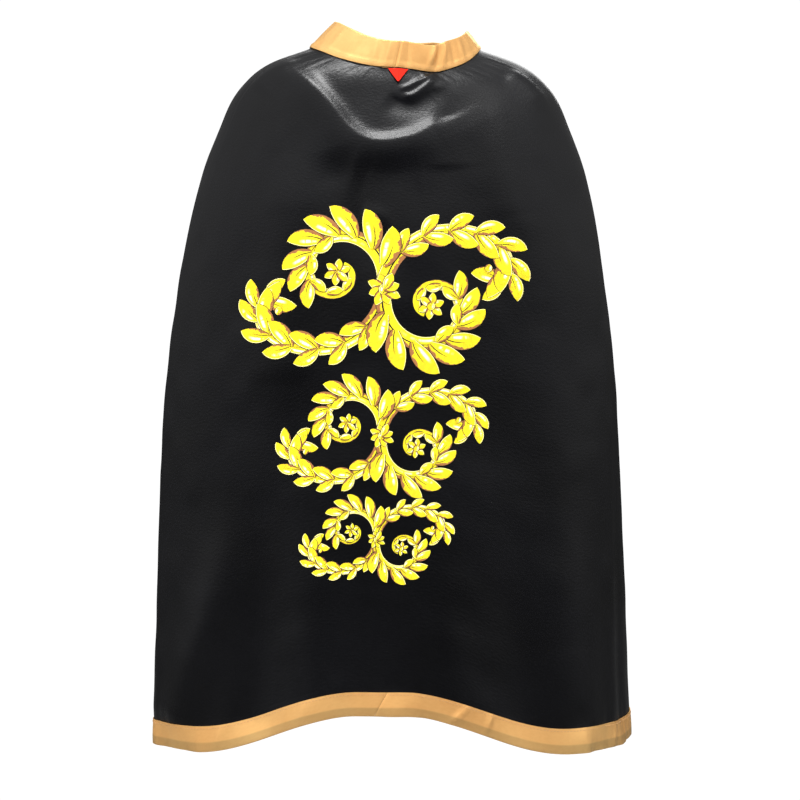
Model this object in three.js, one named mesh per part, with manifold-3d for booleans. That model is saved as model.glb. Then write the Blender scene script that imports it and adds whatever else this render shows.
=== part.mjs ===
// A child's costume cape, closed at the neck and hanging as it is worn. Millimetres, +Z up.
// The origin is the middle of the neck opening at the height of the neck seam's sides.
// The printed back of the cape faces -Y, and the two front edges face +Y.
import * as THREE from "three";
import Module from "manifold-3d";
import { mergeVertices } from "three/addons/utils/BufferGeometryUtils.js";

// Driving dimensions
const CLOTH = 0.8; // thickness of one layer of satin, drawn thick enough to be a solid
const LAYER_GAP = 0.35; // air between two layers
const NECK = { side: 83, back: 50, front: 48, backDip: 25.5, frontDip: 14 };
const COLLAR = { side: 64, back: 47, front: 43, rise: 26, seamAllowance: 5 };
// The neckline sags right of the middle of the back, and the collar leans and droops to that side.
const SAG = { neck: 10, lean: 6, droop: 0.2 };
const HEM = { back: -638, lobeDrop: 40, frontRise: 22, band: 25, clothInset: 8 };
// The cape's outline at its side and back: how far out the cloth is at each drop below the neckline.
const DROPS = [0, 14, 36, 80, 150, 290, 480, 680];
const SIDE_OUT = [83, 121, 148, 172, 194, 215, 225.5, 231];
const BACK_OUT = [50, 57, 65, 76, 86, 97, 108, 118];
// The straight lines that the two fronts turn back on: half width across the front and distance forward.
const FOLD = { neck: 45, hem: 97, neckForward: 40.3, hemForward: 103 };
const EDGE = { neck: 14, hem: 52 }; // half width between the front edges
const CLOSURE = { overEnd: 30, underEnd: 2, tapeStart: 5, tapeEnd: 27, tapeHeight: 18, tape: 1.2 };
const TAG = { x: 3, width: 19, tip: 1.6, height: 13, drop: 1.6 };
const CARE_LABEL = { x: -4, width: 42, height: 30, drop: 3, thick: 0.6, inwards: 2 };
const PRINTS = [
  { name: "print_large", x: -10, z: -240, scale: 0.975 },
  { name: "print_medium", x: -12, z: -377.5, scale: 0.71 },
  { name: "print_small", x: -17, z: -474, scale: 0.515 },
];
const REAR_COLUMNS = 48;
const FRONT_COLUMNS = 5;
const ROWS = 13;
const THREAD = 0.5;

const HALF = CLOTH / 2;
const WALL_IN = HALF + LAYER_GAP; // where the layer on top of the cloth starts
const WALL_OUT = WALL_IN + CLOTH;
const ON_WALL = WALL_OUT + LAYER_GAP;
const MAX_DROP = DROPS.at(-1);

const gold = new THREE.MeshStandardMaterial({ color: 0xe9b470, roughness: 0.38, metalness: 0.0 });
const black = new THREE.MeshStandardMaterial({ color: 0x1c1d20, roughness: 0.36, metalness: 0.0 });
const red = new THREE.MeshStandardMaterial({ color: 0xe2352a, roughness: 0.55, metalness: 0.0 });
const white = new THREE.MeshStandardMaterial({ color: 0xf0efeb, roughness: 0.6, metalness: 0.0 });
const ink = new THREE.MeshStandardMaterial({ color: 0xe8d732, roughness: 0.5, metalness: 0.0 });
const fleece = new THREE.MeshStandardMaterial({ color: 0x202020, roughness: 0.95, metalness: 0.0 });
const felt = new THREE.MeshStandardMaterial({ color: 0xe7e4da, roughness: 0.9, metalness: 0.0 });
const goldThread = new THREE.MeshStandardMaterial({ color: 0xc98f4c, roughness: 0.5, metalness: 0.0 });
const blackThread = new THREE.MeshStandardMaterial({ color: 0x0c0c0e, roughness: 0.5, metalness: 0.0 });

const smooth = THREE.MathUtils.smoothstep;
const lerp = THREE.MathUtils.lerp;
const deg = THREE.MathUtils.degToRad;

// ---- The hanging cloth as one surface ----
// angle is 0 at the middle of the back, positive towards +X, and 180 degrees at the front.

const profile = (outs) => new THREE.SplineCurve(outs.map((out, i) => new THREE.Vector2(out, DROPS[i])));
const sideProfile = profile(SIDE_OUT);
const backProfile = profile(BACK_OUT);

// How far out a profile is at a drop, found by halving because a spline is read by its own parameter.
function outAt(curve, drop) {
  let low = 0;
  let high = 1;
  for (let i = 0; i < 26; i++) {
    const middle = (low + high) / 2;
    if (curve.getPoint(middle).y < drop) low = middle;
    else high = middle;
  }
  return curve.getPoint(low).x;
}

const degreesFromBack = (angle) => THREE.MathUtils.radToDeg(Math.acos(Math.cos(angle)));
const LEVEL_FROM = 146; // degrees; the fronts are level from here on, so that their fold lines are straight

// 1 on the right of the back between two angles in degrees, fading to 0 at the two outside them
function onRight(angle, from, full, until, end) {
  if (Math.sin(angle) < 0) return 0;
  const a = degreesFromBack(angle);
  return smooth(a, from, full) * (1 - smooth(a, until, end));
}

function neckZ(angle) {
  const sag = SAG.neck * onRight(angle, 0, 34, 48, 98);
  if (Math.cos(angle) > 0) return -NECK.backDip * Math.cos(angle) ** 2 - sag;
  return -NECK.frontDip * smooth(degreesFromBack(angle), 90, LEVEL_FROM) - sag;
}

// The hem is arched at the back, hangs lowest in the two back corners and rises a little to the fronts.
function hemZ(angle) {
  const a = degreesFromBack(angle);
  return HEM.back - HEM.lobeDrop * smooth(a, 10, 52) + HEM.frontRise * smooth(a, 75, LEVEL_FROM);
}

// How far forward the cloth is at the middle of the front, so that its fold lines are straight.
function frontOut(share, across) {
  const forward = lerp(FOLD.neckForward, FOLD.hemForward, share);
  return forward / Math.sqrt(1 - (lerp(FOLD.neck, FOLD.hem, share) / across) ** 2);
}

// A point of the cloth: share is 0 at the neckline and 1 at the hem.
function clothPoint(angle, share) {
  const drop = share * MAX_DROP;
  const across = outAt(sideProfile, drop);
  const deep = Math.cos(angle) > 0 ? outAt(backProfile, drop) : frontOut(share, across);
  const z = lerp(neckZ(angle), hemZ(angle), share);
  return new THREE.Vector3(across * Math.sin(angle), -deep * Math.cos(angle), z);
}

// The angle at which the front of the cloth is x away from the middle, x given at the neckline and the hem.
function frontAngle(line, share) {
  const x = lerp(line.neck, line.hem, share);
  return Math.PI - Math.asin(x / outAt(sideProfile, share * MAX_DROP));
}

// A point of the collar: height is measured up from the neckline.
function collarPoint(angle, height) {
  const share = height / COLLAR.rise;
  const rear = Math.cos(angle) > 0;
  const across = lerp(NECK.side, COLLAR.side, share);
  const deep = rear ? lerp(NECK.back, COLLAR.back, share) : lerp(NECK.front, COLLAR.front, share);
  const lean = SAG.lean * share * (1 - smooth(degreesFromBack(angle), 95, 130));
  const up = height * (1 - SAG.droop * onRight(angle, 40, 85, 95, 135));
  return new THREE.Vector3(across * Math.sin(angle) + lean, -deep * Math.cos(angle), neckZ(angle) + up);
}

// The point moved off its surface: along is +angle, up is up the cloth, so their cross product faces outwards.
function lifted(point, along, up, lift) {
  const normal = new THREE.Vector3().crossVectors(along, up).normalize();
  return point.addScaledVector(normal, lift);
}

const STEP = 1e-3;

function onCloth(angle, share, lift) {
  const point = clothPoint(angle, share);
  const along = clothPoint(angle + STEP, share).sub(clothPoint(angle - STEP, share));
  const up = clothPoint(angle, share - STEP / 2).sub(clothPoint(angle, share + STEP / 2));
  return lifted(point, along, up, lift);
}

function onCollar(angle, height, lift) {
  const point = collarPoint(angle, height);
  const along = collarPoint(angle + STEP, height).sub(collarPoint(angle - STEP, height));
  const up = collarPoint(angle, height + 1).sub(point);
  return lifted(point, along, up, lift);
}

// ---- Solids ----

// A flat box bent into place: u runs along, v up and w outwards, each from 0 to 1.
function bentSheet(columns, rows, place) {
  const geometry = new THREE.BoxGeometry(1, 1, 1, columns, rows, 1);
  const position = geometry.getAttribute("position");
  for (let i = 0; i < position.count; i++) {
    const u = position.getX(i) + 0.5;
    const v = position.getY(i) + 0.5;
    const w = position.getZ(i) + 0.5;
    position.setXYZ(i, ...place(u, v, w).toArray());
  }
  return geometry;
}

// A section drawn in lift (outwards) and height, swept from u 0 to u 1.
function sweptSection(corners, steps, place) {
  const shape = new THREE.Shape(corners.map(([lift, height]) => new THREE.Vector2(lift, height)));
  const geometry = new THREE.ExtrudeGeometry(shape, { depth: 1, steps, bevelEnabled: false });
  const position = geometry.getAttribute("position");
  for (let i = 0; i < position.count; i++) {
    const point = place(1 - position.getZ(i), position.getY(i), position.getX(i));
    position.setXYZ(i, ...point.toArray());
  }
  return geometry;
}

// One strip folded round an edge: two walls joined by a turn, at turnAt, which is above or below the open side.
function foldedSection(openOutside, openInside, turnAt) {
  const inner = turnAt + Math.sign(openInside - turnAt) * CLOTH;
  return [
    [WALL_OUT, openOutside],
    [WALL_OUT, turnAt],
    [-WALL_OUT, turnAt],
    [-WALL_OUT, openInside],
    [-WALL_IN, openInside],
    [-WALL_IN, inner],
    [WALL_IN, inner],
    [WALL_IN, openOutside],
  ];
}

const rectangle = (liftLow, liftHigh, low, high) => [
  [liftLow, low],
  [liftHigh, low],
  [liftHigh, high],
  [liftLow, high],
];

const cape = new THREE.Group();

function addPiece(name, geometry, material) {
  const mesh = new THREE.Mesh(geometry, material);
  mesh.name = name;
  cape.add(mesh);
  return mesh;
}

// ---- The three panels of black satin ----

const CUT = 0.4; // half of the slit at a fold line
const foldLine = (away) => ({ neck: FOLD.neck + away, hem: FOLD.hem + away });

// Each part of the cape lies between two lines, given as angles that may change down the cloth.
const rearSpan = (share, u) => {
  const end = frontAngle(foldLine(CUT), share);
  return lerp(-end, end, u);
};
const leftSpan = (share, u) => lerp(-frontAngle(EDGE, share), -frontAngle(foldLine(-CUT), share), u);
const rightSpan = (share, u) => lerp(frontAngle(foldLine(-CUT), share), frontAngle(EDGE, share), u);

// A panel runs from just inside the hem band to the seam allowance that is held inside the collar.
function panel(name, span, columns) {
  const bottom = 1 - HEM.clothInset / MAX_DROP;
  const place = (u, v, w) => {
    const row = Math.round((1 - v) * (ROWS + 1));
    const lift = lerp(-HALF, HALF, w);
    if (row === 0) return onCollar(span(0, u), COLLAR.seamAllowance, lift);
    const share = bottom * ((row - 1) / ROWS) ** 1.8;
    return onCloth(span(share, u), share, lift);
  };
  addPiece(name, bentSheet(columns, ROWS + 1, place), black);
}

panel("back_panel", rearSpan, REAR_COLUMNS);
panel("left_front_panel", leftSpan, FRONT_COLUMNS);
panel("right_front_panel", rightSpan, FRONT_COLUMNS);

// ---- The gold hem band, one strip folded round the cloth's lower edge ----

// A point near the hem: height is measured up from the hem.
function nearHem(span, u, height, lift) {
  const share = 1 - height / MAX_DROP;
  return onCloth(span(share, u), share, lift);
}

const hemSection = foldedSection(HEM.band, HEM.band, 0);

function hemPiece(name, section, span, columns, material) {
  const place = (u, height, lift) => nearHem(span, u, height, lift);
  addPiece(name, sweptSection(section, columns, place), material);
}

// The strip's two lengths are joined on the slant, just left of the middle of the back.
const JOIN = { lower: -19, upper: -7, slit: 0.15 };
const REAR_HALF = REAR_COLUMNS / 2;

function atJoin(height, slit, lift) {
  const x = lerp(JOIN.lower, JOIN.upper, height / HEM.band) + slit;
  return onCloth(Math.asin(x / SIDE_OUT.at(-1)), 1 - height / MAX_DROP, lift);
}

function leftOfJoin(u, height, lift) {
  return u === 1 ? atJoin(height, -JOIN.slit, lift) : nearHem(rearSpan, u / 2, height, lift);
}

function rightOfJoin(u, height, lift) {
  const along = lerp(0.5 - 1 / REAR_COLUMNS, 1, u);
  return u === 0 ? atJoin(height, JOIN.slit, lift) : nearHem(rearSpan, along, height, lift);
}

addPiece("hem_band_left_rear", sweptSection(hemSection, REAR_HALF, leftOfJoin), gold);
addPiece("hem_band_right_rear", sweptSection(hemSection, REAR_HALF + 1, rightOfJoin), gold);
hemPiece("hem_band_left_front", hemSection, leftSpan, FRONT_COLUMNS, gold);
hemPiece("hem_band_right_front", hemSection, rightSpan, FRONT_COLUMNS, gold);

const HEM_STITCH = HEM.band - 2.5;
const threadOn = (height) => rectangle(ON_WALL, ON_WALL + THREAD, height, height + THREAD);
hemPiece("hem_topstitch_rear", threadOn(HEM_STITCH), rearSpan, REAR_COLUMNS, goldThread);
hemPiece("hem_topstitch_left", threadOn(HEM_STITCH), leftSpan, FRONT_COLUMNS, goldThread);
hemPiece("hem_topstitch_right", threadOn(HEM_STITCH), rightSpan, FRONT_COLUMNS, goldThread);

// ---- The stitching that holds the turned front edges ----

function edgeStitch(name, side) {
  const inFromEdge = { neck: EDGE.neck + 6, hem: EDGE.hem + 6 };
  const topShare = 0.006;
  const bottomShare = 1 - (HEM.band + 2) / MAX_DROP;
  const place = (u, v, w) => {
    const share = lerp(topShare, bottomShare, (1 - v) ** 1.8);
    const angle = side * frontAngle(inFromEdge, share);
    const sideways = (u - 0.5) * (THREAD / outAt(sideProfile, share * MAX_DROP));
    return onCloth(angle + sideways, share, lerp(WALL_IN, WALL_IN + THREAD, w));
  };
  addPiece(name, bentSheet(1, 2 * ROWS, place), blackThread);
}

edgeStitch("front_edge_topstitch_left", -1);
edgeStitch("front_edge_topstitch_right", 1);

// ---- The collar: a gold band folded over a strip of interfacing ----

// The collar parts on the fold lines too, which run straight on above the neckline.
function collarFold(height) {
  const slope = (FOLD.hem - FOLD.neck) / (neckZ(Math.PI) - hemZ(Math.PI));
  return Math.PI - Math.asin((FOLD.neck - slope * height) / lerp(NECK.side, COLLAR.side, height / COLLAR.rise));
}

// An angle of the neckline carried up the collar: it follows the fold line near it, and is kept elsewhere.
function risen(angle, height) {
  const near = 1 - smooth(Math.abs(Math.abs(angle) - collarFold(0)), 0, deg(22));
  return angle - Math.sign(angle) * near * (collarFold(0) - collarFold(height));
}

const rearEnd = frontAngle(foldLine(CUT), 0);
const frontStart = frontAngle(foldLine(-CUT), 0);
const OVERLAP_LIFT = 2 * WALL_OUT + 2 * CLOSURE.tape + 3 * LAYER_GAP;
// The over end stands out from the under end, so that the two fastener tapes fit between them.
const overLift = (angle) => OVERLAP_LIFT * smooth(NECK.side * Math.sin(angle), 1 - EDGE.neck, 1.5);
const neckAngle = (x) => Math.PI - Math.asin(x / NECK.side);
const overEnd = 2 * Math.PI - neckAngle(CLOSURE.overEnd);
const underEnd = neckAngle(CLOSURE.underEnd);
const centre = deg(0.25);

const collarSection = foldedSection(1.2, 0, COLLAR.rise);
const FELT = 0.2; // half the interfacing's thickness
const interfacingSection = rectangle(-FELT, FELT, COLLAR.seamAllowance + 1.5, COLLAR.rise - CLOTH - LAYER_GAP);
const collarStitch = threadOn(3);

// from and to are the angles of a piece's two ends at the neckline, the lesser angle first.
function collarPiece(name, section, from, to, steps, material, extraLift = () => 0) {
  const place = (u, height, lift) => {
    const angle = risen(lerp(from, to, u), height);
    return onCollar(angle, height, lift + extraLift(angle));
  };
  addPiece(name, sweptSection(section, steps, place), material);
}

const OVER_COLUMNS = 13;
const UNDER_COLUMNS = 6;
// What is inside or on a front stops one column short of its free end.
const OVER_LESS = OVER_COLUMNS - 1;
const UNDER_LESS = UNDER_COLUMNS - 1;
const overLess = lerp(overEnd, frontStart, 1 / OVER_COLUMNS);
const underLess = lerp(underEnd, frontStart, 1 / UNDER_COLUMNS);

collarPiece("collar_band_left_rear", collarSection, -rearEnd, -centre, REAR_HALF, gold);
collarPiece("collar_band_right_rear", collarSection, centre, rearEnd, REAR_HALF, gold);
collarPiece("collar_band_left_front", collarSection, -overEnd, -frontStart, OVER_COLUMNS, gold, overLift);
collarPiece("collar_band_right_front", collarSection, frontStart, underEnd, UNDER_COLUMNS, gold);
collarPiece("collar_interfacing_rear", interfacingSection, -rearEnd, rearEnd, REAR_COLUMNS, felt);
collarPiece("collar_interfacing_left", interfacingSection, -overLess, -frontStart, OVER_LESS, felt, overLift);
collarPiece("collar_interfacing_right", interfacingSection, frontStart, underLess, UNDER_LESS, felt);
collarPiece("collar_topstitch_rear", collarStitch, -rearEnd, rearEnd, REAR_COLUMNS, goldThread);
collarPiece("collar_topstitch_left", collarStitch, -overLess, -frontStart, OVER_LESS, goldThread, overLift);
// The under end's stitching stops short of the fastener tape.
const stitchEnd = neckAngle(CLOSURE.overEnd + 2);
collarPiece("collar_topstitch_right", collarStitch, frontStart, stitchEnd, 3, goldThread);

// ---- The hook and loop tapes between the two collar ends ----

const tapeLow = (COLLAR.rise - CLOSURE.tapeHeight) / 2 + 1;
const loopStart = WALL_OUT + LAYER_GAP;
const hookStart = loopStart + CLOSURE.tape + LAYER_GAP;
const tape = (lift) => rectangle(lift, lift + CLOSURE.tape, tapeLow, tapeLow + CLOSURE.tapeHeight);
const tapeFrom = neckAngle(CLOSURE.tapeEnd);
const tapeTo = neckAngle(CLOSURE.tapeStart);
collarPiece("loop_tape", tape(loopStart), tapeFrom, tapeTo, 4, fleece);
collarPiece("hook_tape", tape(hookStart), tapeFrom, tapeTo, 4, fleece);

// ---- The tag outside the neck seam and the care label inside it ----

// The tag is ribbon folded to a point that hangs down, and it lies on the cloth.
function placeTag(u, v, w) {
  const share = lerp(TAG.drop + TAG.height, TAG.drop, v) / (neckZ(0) - hemZ(0));
  const x = TAG.x + (u - 0.5) * lerp(TAG.tip, TAG.width, v);
  return onCloth(Math.asin(x / outAt(sideProfile, share * MAX_DROP)), share, lerp(1, 1.6, w));
}

// The care label hangs straight down from the neckline's curve.
function placeCareLabel(u, v, w) {
  const x = CARE_LABEL.x + (u - 0.5) * CARE_LABEL.width;
  const y = CARE_LABEL.inwards - NECK.back * Math.sqrt(1 - (x / NECK.side) ** 2);
  const z = neckZ(0) - CARE_LABEL.drop - (1 - v) * CARE_LABEL.height;
  return new THREE.Vector3(x, y + CARE_LABEL.thick * (1 - w), z);
}

addPiece("neck_tag", bentSheet(2, 3, placeTag), red);
addPiece("care_label", bentSheet(6, 2, placeCareLabel), white);

// ---- The printed scrolls: one film each, pressed on the back ----
// A scroll has two halves, the second being the first turned by half a turn. It is drawn for the large print.

const SCROLL = { start: deg(-20), radius: 48, inner: 9.5, turns: deg(430), flower: 13 };
const FOLLOWING_STEM = [
  [6, 8],
  [-10, -29],
  [-42, -54],
  [-84, -57],
  [-116, -40],
  [-122, -15],
  [-107, -8],
  [-101, -21],
];
const heading = (angle) => new THREE.Vector2(Math.cos(angle), Math.sin(angle));
const eye = heading(SCROLL.start).multiplyScalar(-SCROLL.radius);

// A strip of changing half width along points, as a closed outline.
function stripOutline(points, halfWidthAt) {
  const last = points.length - 1;
  const left = [];
  const right = [];
  points.forEach((point, i) => {
    const ahead = points[Math.min(i + 1, last)].clone().sub(points[Math.max(i - 1, 0)]).normalize();
    const side = new THREE.Vector2(-ahead.y, ahead.x).multiplyScalar(halfWidthAt(i / last));
    left.push(point.clone().add(side));
    right.push(point.clone().sub(side));
  });
  return [...left, ...right.reverse()];
}

// A pointed leaf: it leaves its root, is widest before its middle, and bends towards its tip.
function leaf(root, direction, length, width, bend) {
  const middle = root.clone().addScaledVector(heading(direction), length * 0.5);
  const tip = middle.clone().addScaledVector(heading(direction + bend), length * 0.55);
  const points = new THREE.QuadraticBezierCurve(root, middle, tip).getPoints(5);
  return stripOutline(points, (t) => (width / 2) * (0.35 + 2.6 * t) * (1 - t) ** 0.8);
}

function spiralPoints() {
  const points = [];
  for (let i = 0; i <= 30; i++) {
    const radius = lerp(SCROLL.radius, SCROLL.inner, (i / 30) ** 0.85);
    points.push(eye.clone().addScaledVector(heading(SCROLL.start + (i / 30) * SCROLL.turns), radius));
  }
  return points;
}

// The place and direction of a line of points at a share of its length.
function at(points, share) {
  const i = Math.round(share * (points.length - 1));
  const ahead = points[i + 1].clone().sub(points[i - 1]);
  return { point: points[i], direction: Math.atan2(ahead.y, ahead.x) };
}

function leafAt(points, share, turn, length, width, bend) {
  const { point, direction } = at(points, share);
  return leaf(point.clone(), direction + turn, length, width, bend);
}

function disc(centre, radius) {
  return Array.from({ length: 10 }, (_, i) => centre.clone().addScaledVector(heading((i * Math.PI) / 5), radius));
}

function halfScroll() {
  const spiral = spiralPoints();
  const stem = new THREE.SplineCurve(FOLLOWING_STEM.map(([x, y]) => new THREE.Vector2(x, y))).getPoints(28);
  const parts = [
    stripOutline(spiral, (t) => lerp(8.2, 3.2, t)),
    stripOutline(stem, (t) => 7.2 * (1 - t) ** 0.45 * (0.55 + 0.45 * Math.cos(2 * t)) + 1),
    disc(stem.at(-1), 4),
    disc(eye, 4.2),
  ];
  for (let i = 0; i < 6; i++) parts.push(leaf(eye.clone(), deg(60 * i + 15), SCROLL.flower, 9, deg(14)));
  for (let i = 0; i < 8; i++) {
    const length = i < 6 ? 28 + 2.5 * i : 40;
    parts.push(leafAt(spiral, 0.5 - 0.062 * i, deg(-52), length, 16 + 0.9 * i, deg(40)));
  }
  for (let i = 0; i < 5; i++) {
    parts.push(leafAt(spiral, 0.72 - 0.11 * i, deg(42), 14 + 2.1 * i, 9 + 1.2 * i, deg(-34)));
  }
  for (let i = 0; i < 8; i++) {
    const share = 0.8 - 0.088 * i;
    const growth = Math.sin(Math.PI * (0.18 + 0.72 * (1 - share)));
    parts.push(leafAt(stem, share, deg(-50), 15 + 19 * growth, 9 + 9 * growth, deg(38)));
    parts.push(leafAt(stem, share, deg(46), 13 + 16 * growth, 8 + 8 * growth, deg(-36)));
  }
  return parts;
}

const wasm = await Module();
wasm.setup();

function toSolid(geometry) {
  const bare = new THREE.BufferGeometry();
  bare.setAttribute("position", geometry.getAttribute("position"));
  if (geometry.index) bare.setIndex(geometry.index);
  const merged = mergeVertices(bare, 1e-4);
  const vertProperties = merged.getAttribute("position").array;
  const triVerts = new Uint32Array(merged.index.array);
  return new wasm.Manifold(new wasm.Mesh({ numProp: 3, vertProperties, triVerts }));
}

function fromSolid(solid) {
  const mesh = solid.getMesh();
  const geometry = new THREE.BufferGeometry();
  geometry.setAttribute("position", new THREE.BufferAttribute(mesh.vertProperties, 3));
  geometry.setIndex(new THREE.BufferAttribute(mesh.triVerts, 1));
  return geometry;
}

// Each outline becomes a prism that runs through the back of the cape, along Y.
function prismOf(outline, print, turned) {
  const scale = print.scale * (turned ? -1 : 1);
  const points = outline.map((p) => new THREE.Vector2(print.x + p.x * scale, print.z + p.y * scale));
  const shape = new THREE.Shape(points);
  const geometry = new THREE.ExtrudeGeometry(shape, { depth: 200, steps: 1, bevelEnabled: false });
  geometry.rotateX(Math.PI / 2); // the drawing's up becomes +Z, and the prism runs towards -Y
  return toSolid(geometry);
}

// The film is a thin shell on the back panel's own columns and rows, cut to the scroll.
const filmRows = ROWS;
const filmShell = toSolid(
  bentSheet(REAR_COLUMNS, filmRows, (u, v, w) => {
    const share = (1 - HEM.clothInset / MAX_DROP) * (Math.round((1 - v) * filmRows) / filmRows) ** 1.8;
    return onCloth(rearSpan(share, u), share, lerp(WALL_IN, WALL_IN + 0.4, w));
  }),
);

for (const print of PRINTS) {
  const prisms = halfScroll().flatMap((outline) => [false, true].map((turned) => prismOf(outline, print, turned)));
  prisms.push(prismOf(disc(new THREE.Vector2(), 15), print, false));
  const film = filmShell.intersect(wasm.Manifold.union(prisms)).simplify(0.12);
  addPiece(print.name, fromSolid(film), ink);
}

export default cape;
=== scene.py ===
import math

import bpy
import numpy as np
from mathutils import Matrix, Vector


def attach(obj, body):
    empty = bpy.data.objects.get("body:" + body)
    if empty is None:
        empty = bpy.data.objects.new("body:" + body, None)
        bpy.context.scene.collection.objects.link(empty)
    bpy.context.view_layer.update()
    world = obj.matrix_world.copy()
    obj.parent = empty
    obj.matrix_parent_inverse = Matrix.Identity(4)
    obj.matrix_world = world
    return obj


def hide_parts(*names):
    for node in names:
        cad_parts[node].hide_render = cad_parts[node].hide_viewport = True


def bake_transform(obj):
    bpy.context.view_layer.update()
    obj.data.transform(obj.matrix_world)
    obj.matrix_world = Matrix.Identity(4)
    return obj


# A child's knight cape: black satin, gold satin collar and hem band, printed scrolls down the back.
# Shapes are worked out in millimetres, in the frame of the CAD part, and turned to metres as meshes are made.

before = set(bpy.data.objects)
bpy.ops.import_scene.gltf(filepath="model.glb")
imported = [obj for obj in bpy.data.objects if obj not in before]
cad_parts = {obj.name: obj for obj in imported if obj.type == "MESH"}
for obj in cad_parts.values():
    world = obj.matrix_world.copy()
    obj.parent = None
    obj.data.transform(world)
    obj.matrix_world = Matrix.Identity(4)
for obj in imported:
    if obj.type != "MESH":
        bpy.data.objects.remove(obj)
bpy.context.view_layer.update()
print("frame loaded")


# shape of the hanging cloth

capeShape = {
    "neckSide": 83.0, "neckBack": 50.0, "neckFront": 48.0, "backDip": 25.5, "frontDip": 14.0,
    "drops": [0, 14, 36, 80, 150, 290, 480, 680],
    "leftOut": [83, 121, 149, 173, 196, 219, 230, 234.5],
    "rightOut": [83, 121, 149, 172, 193, 212, 221, 227],
    "backOut": [50, 55, 61, 72, 84, 96, 108, 118],
    "foldNeck": 45.0, "foldHem": 97.0, "foldNeckForward": 40.3, "foldHemForward": 103.0,
    "edgeNeck": 14.0, "edgeHem": 52.0,
    "hemBack": -638.0, "lobeDrop": 40.0, "frontRise": 22.0, "archCentre": -14.0,
    "neckSag": 10.0,
    "clothThick": 0.45,
}
maxDrop = 680.0
levelFrom = 146.0


def smoothStep(x, low, high):
    t = np.clip((np.asarray(x, float) - low) / (high - low), 0, 1)
    return t * t * (3 - 2 * t)


def lerp(a, b, t):
    return a + (b - a) * t


def smoothCurve(xs, ys, x):
    # a soft line through known points, without overshoot
    xs, ys, x = np.asarray(xs, float), np.asarray(ys, float), np.clip(x, xs[0], xs[-1])
    slope = np.diff(ys) / np.diff(xs)
    m = np.concatenate([[slope[0]], (slope[:-1] + slope[1:]) / 2, [slope[-1]]])
    i = np.clip(np.searchsorted(xs, x, side="right") - 1, 0, len(xs) - 2)
    h = xs[i + 1] - xs[i]
    t = (x - xs[i]) / h
    return (ys[i] * (2 * t**3 - 3 * t**2 + 1) + m[i] * h * (t**3 - 2 * t**2 + t)
            + ys[i + 1] * (3 * t**2 - 2 * t**3) + m[i + 1] * h * (t**3 - t**2))


dropTable = np.linspace(-6, maxDrop + 6, 700)
outTable = {}
for side in ("leftOut", "rightOut", "backOut"):
    inner = smoothCurve(capeShape["drops"], capeShape[side], dropTable)
    rise = (capeShape[side][1] - capeShape[side][0]) / 14
    outTable[side] = inner + np.minimum(dropTable, 0) * rise


def outAt(side, drop):
    return np.interp(drop, dropTable, outTable[side])


def degreesFromBack(angle):
    return np.degrees(np.arccos(np.clip(np.cos(angle), -1, 1)))


def onRight(angle, start, full, until, end):
    # 1 on the right of the back between two angles in degrees, fading to 0 at the two outside them
    a = degreesFromBack(angle)
    return np.where(np.sin(angle) < 0, 0, smoothStep(a, start, full) * (1 - smoothStep(a, until, end)))


def neckZ(angle):
    c = np.cos(angle)
    front = -capeShape["frontDip"] * smoothStep(degreesFromBack(angle), 90, levelFrom)
    sag = capeShape["neckSag"] * onRight(angle, 0, 34, 48, 98)
    return np.where(c > 0, -capeShape["backDip"] * c * c, front) - sag


def hemZ(angle, x):
    a = degreesFromBack(angle)
    lobe = smoothStep(np.abs(x - capeShape["archCentre"]), 22, 178)
    lobe = np.where(a > 70, 1, lobe)
    return capeShape["hemBack"] - capeShape["lobeDrop"] * lobe + capeShape["frontRise"] * smoothStep(a, 75, levelFrom)


def acrossAt(angle, drop):
    toLeft = 0.5 - 0.5 * np.clip(1.6 * np.sin(angle), -1, 1)
    return lerp(outAt("rightOut", drop), outAt("leftOut", drop), toLeft)


def restPoint(angle, share):
    angle, share = np.asarray(angle, float), np.asarray(share, float)
    drop = share * maxDrop
    across = acrossAt(angle, drop)
    fold = lerp(capeShape["foldNeck"], capeShape["foldHem"], share)
    forward = lerp(capeShape["foldNeckForward"], capeShape["foldHemForward"], share)
    plain = (outAt("leftOut", drop) + outAt("rightOut", drop)) / 2
    front = forward / np.sqrt(1 - (fold / plain) ** 2)
    deep = np.where(np.cos(angle) > 0, outAt("backOut", drop), front)
    x = across * np.sin(angle)
    z = lerp(neckZ(angle), hemZ(angle, x), share)
    return np.stack([x, -deep * np.cos(angle), z], -1)


def frontAngle(line, share):
    # where the front of the cloth is this far from the middle; line is (at the neck, at the hem)
    x = lerp(line[0], line[1], share)
    plain = (outAt("leftOut", share * maxDrop) + outAt("rightOut", share * maxDrop)) / 2
    return math.pi - np.arcsin(x / plain)


# folds and wrinkles

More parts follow.
